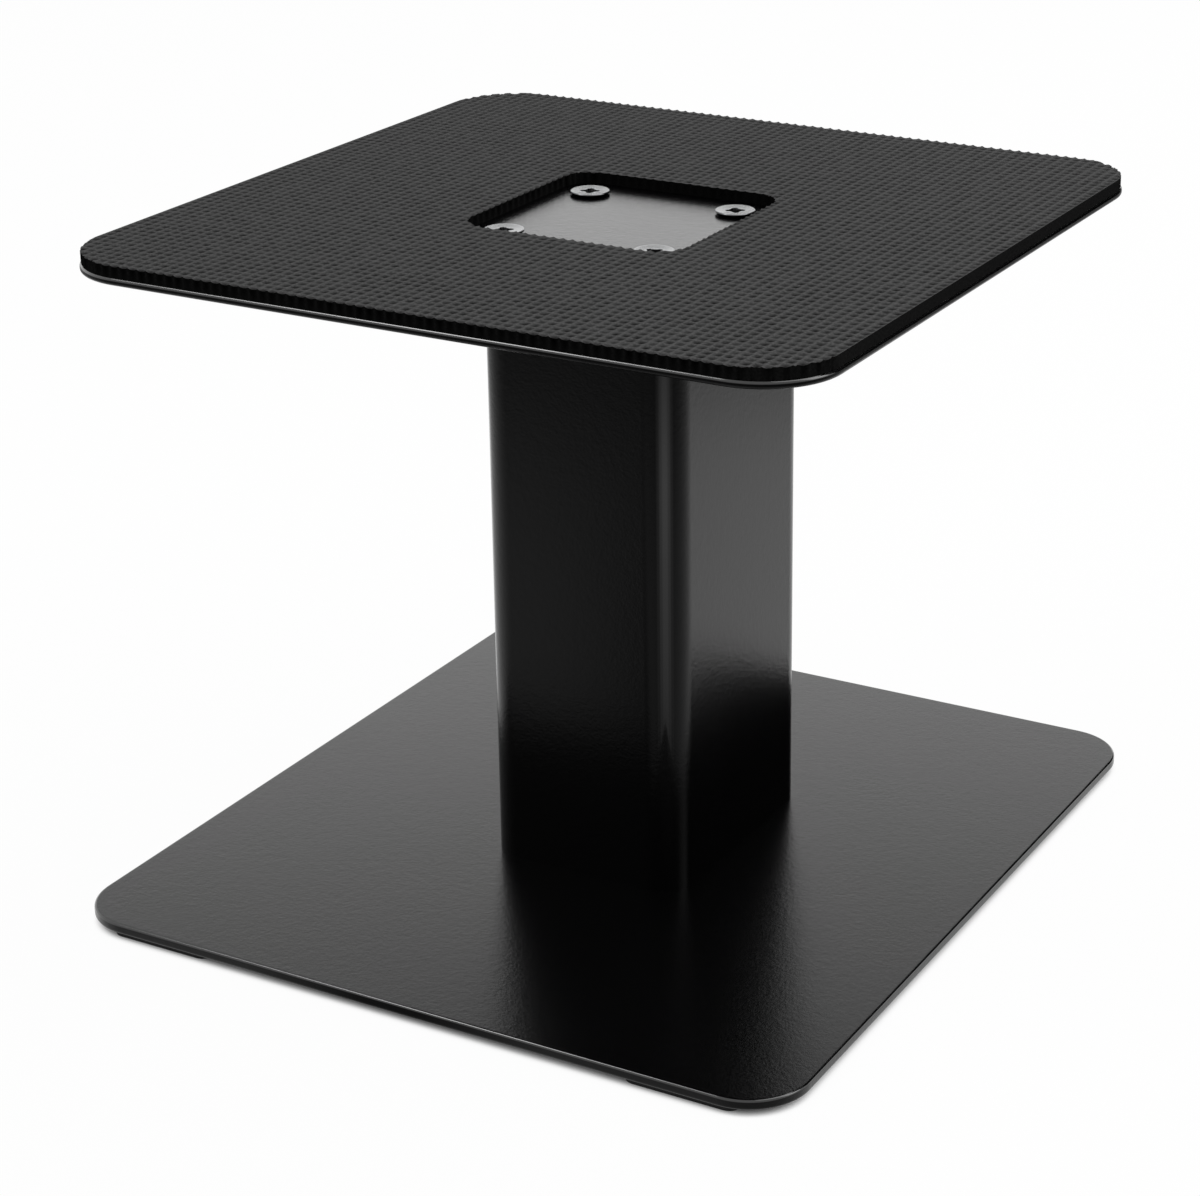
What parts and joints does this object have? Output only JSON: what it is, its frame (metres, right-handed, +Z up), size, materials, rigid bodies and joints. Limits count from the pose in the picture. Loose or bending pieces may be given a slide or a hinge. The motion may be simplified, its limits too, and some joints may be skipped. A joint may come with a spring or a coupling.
{
  "type": "speaker stand",
  "caption": "Low desktop speaker stand: square top plate with a dimpled anti-slip pad, rectangular tube column and a deeper base plate on thin foot pads, held by countersunk screws.",
  "frame": {"origin": "on the floor, under the middle of the base plate", "axes": "+Z up, -Y towards the front (the base is deepest along Y), +X to the right"},
  "size_m": [0.2314, 0.2536, 0.2],
  "materials": {
    "powder_coat": "satin black powder coat",
    "pad_rubber": "matt black rubber sheet with a fine square grid of dimples",
    "foot_rubber": "matt black rubber",
    "screw_steel": "bright nickel-plated steel"
  },
  "bodies": {
    "root": {"base_plate": "powder_coat", "lower_cap": "powder_coat", "column_tube": "powder_coat", "upper_cap": "powder_coat", "top_plate": "powder_coat", "top_pad": "pad_rubber", "foot_pad_front_left": "foot_rubber", "foot_pad_front_right": "foot_rubber", "foot_pad_rear_left": "foot_rubber", "foot_pad_rear_right": "foot_rubber", "top_screw_front_left": "screw_steel", "top_screw_front_right": "screw_steel", "top_screw_rear_left": "screw_steel", "top_screw_rear_right": "screw_steel", "base_screw_front_left": "screw_steel", "base_screw_front_right": "screw_steel", "base_screw_rear_left": "screw_steel", "base_screw_rear_right": "screw_steel"}
  },
  "joints": []
}
